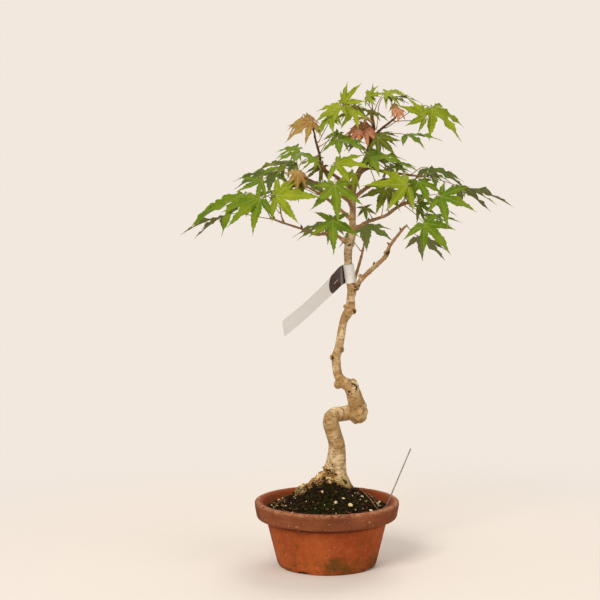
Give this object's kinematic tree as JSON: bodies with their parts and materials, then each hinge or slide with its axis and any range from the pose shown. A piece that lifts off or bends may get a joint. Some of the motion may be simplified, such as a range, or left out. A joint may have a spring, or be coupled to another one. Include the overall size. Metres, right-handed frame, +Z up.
{
  "type": "bonsai tree in a pot",
  "caption": "Small bonsai maple with a bent, knobbly trunk and lobed leaves on thin stalks, planted in a round terracotta pan with a thick rim.",
  "frame": {"origin": "on the pot's axis, in the plane that the pot rests on", "axes": "+Z up along the pot's axis, -Y towards the front, which the tag's tail hangs towards, +X to the right as seen from the front"},
  "size_m": [0.365, 0.2421, 0.5373],
  "materials": {
    "terracotta": "matte, worn and water stained",
    "drain_mesh": "matte black",
    "soil": "damp and rough, with a film of moss",
    "grit": "rough",
    "bark": "smooth young bark with fine rings",
    "tag": "satin, with a dark printed head",
    "wire": "dull",
    "leaf_green": "soft sheen, thin and translucent",
    "leaf_lime": "soft sheen, thin and translucent",
    "leaf_olive": "soft sheen, thin and translucent",
    "leaf_bronze": "soft sheen, thin and translucent",
    "leaf_salmon": "soft sheen, thin and translucent"
  },
  "bodies": {
    "root": {"pot": "terracotta", "drain_mesh_1": "drain_mesh", "drain_mesh_2": "drain_mesh", "soil": "soil", "grit_1": "grit", "grit_2": "grit", "grit_3": "grit", "grit_4": "grit", "trunk": "bark", "plant_tag": "tag", "wire_pin": "wire", "leaf_01": "leaf_green", "leaf_02": "leaf_olive", "leaf_03": "leaf_green", "leaf_04": "leaf_lime", "leaf_05": "leaf_olive", "leaf_06": "leaf_green", "leaf_07": "leaf_bronze", "leaf_08": "leaf_bronze", "leaf_09": "leaf_lime", "leaf_10": "leaf_lime", "leaf_11": "leaf_lime", "leaf_12": "leaf_lime", "leaf_13": "leaf_lime", "leaf_14": "leaf_lime", "leaf_15": "leaf_olive", "leaf_16": "leaf_lime", "leaf_17": "leaf_lime", "leaf_18": "leaf_green", "leaf_19": "leaf_salmon", "leaf_20": "leaf_olive", "leaf_21": "leaf_green", "leaf_22": "leaf_salmon", "leaf_23": "leaf_salmon", "leaf_24": "leaf_bronze", "leaf_25": "leaf_green", "leaf_26": "leaf_lime", "leaf_27": "leaf_green", "leaf_28": "leaf_green", "leaf_29": "leaf_lime", "leaf_30": "leaf_olive", "leaf_31": "leaf_green", "leaf_32": "leaf_green", "leaf_33": "leaf_green", "leaf_34": "leaf_olive", "leaf_35": "leaf_green", "leaf_36": "leaf_olive", "leaf_37": "leaf_green", "leaf_38": "leaf_green", "leaf_39": "leaf_olive", "leaf_40": "leaf_green", "leaf_41": "leaf_olive", "leaf_42": "leaf_green", "leaf_43": "leaf_green", "leaf_44": "leaf_green", "leaf_45": "leaf_green", "leaf_46": "leaf_lime", "leaf_47": "leaf_green", "leaf_48": "leaf_green", "leaf_49": "leaf_green"}
  },
  "joints": []
}
